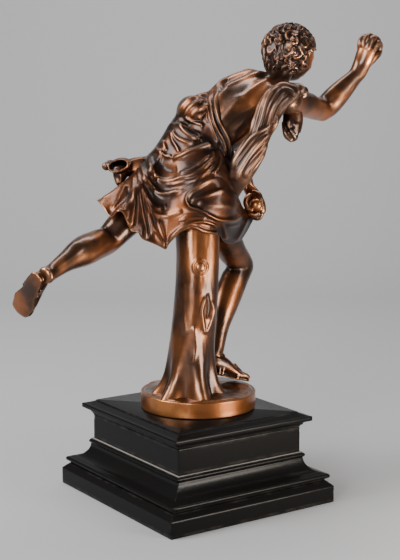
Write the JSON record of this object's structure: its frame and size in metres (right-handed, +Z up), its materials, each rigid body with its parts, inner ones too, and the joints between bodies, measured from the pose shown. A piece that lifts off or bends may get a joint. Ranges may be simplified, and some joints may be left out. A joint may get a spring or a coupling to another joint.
{
  "type": "bronze figure",
  "caption": "Bronze statuette of a running youth in a short tunic beside a tree stump, on a round base and a moulded black wooden plinth.",
  "frame": {"origin": "middle of the plinth's underside", "axes": "+Z up; +X along the plinth's edge that the youth runs along; +Y towards the youth's left"},
  "size_m": [0.5737, 0.2904, 0.6565],
  "materials": {
    "bronze": "dark brown patinated bronze, rubbed warmer on the high parts",
    "black_wood": "ebonised wood, polished, with worn edges"
  },
  "bodies": {
    "root": {"bronze_figure": "bronze", "plinth_foot": "black_wood", "plinth_hollow_moulding": "black_wood", "plinth_block": "black_wood", "plinth_cap": "black_wood"}
  },
  "joints": []
}
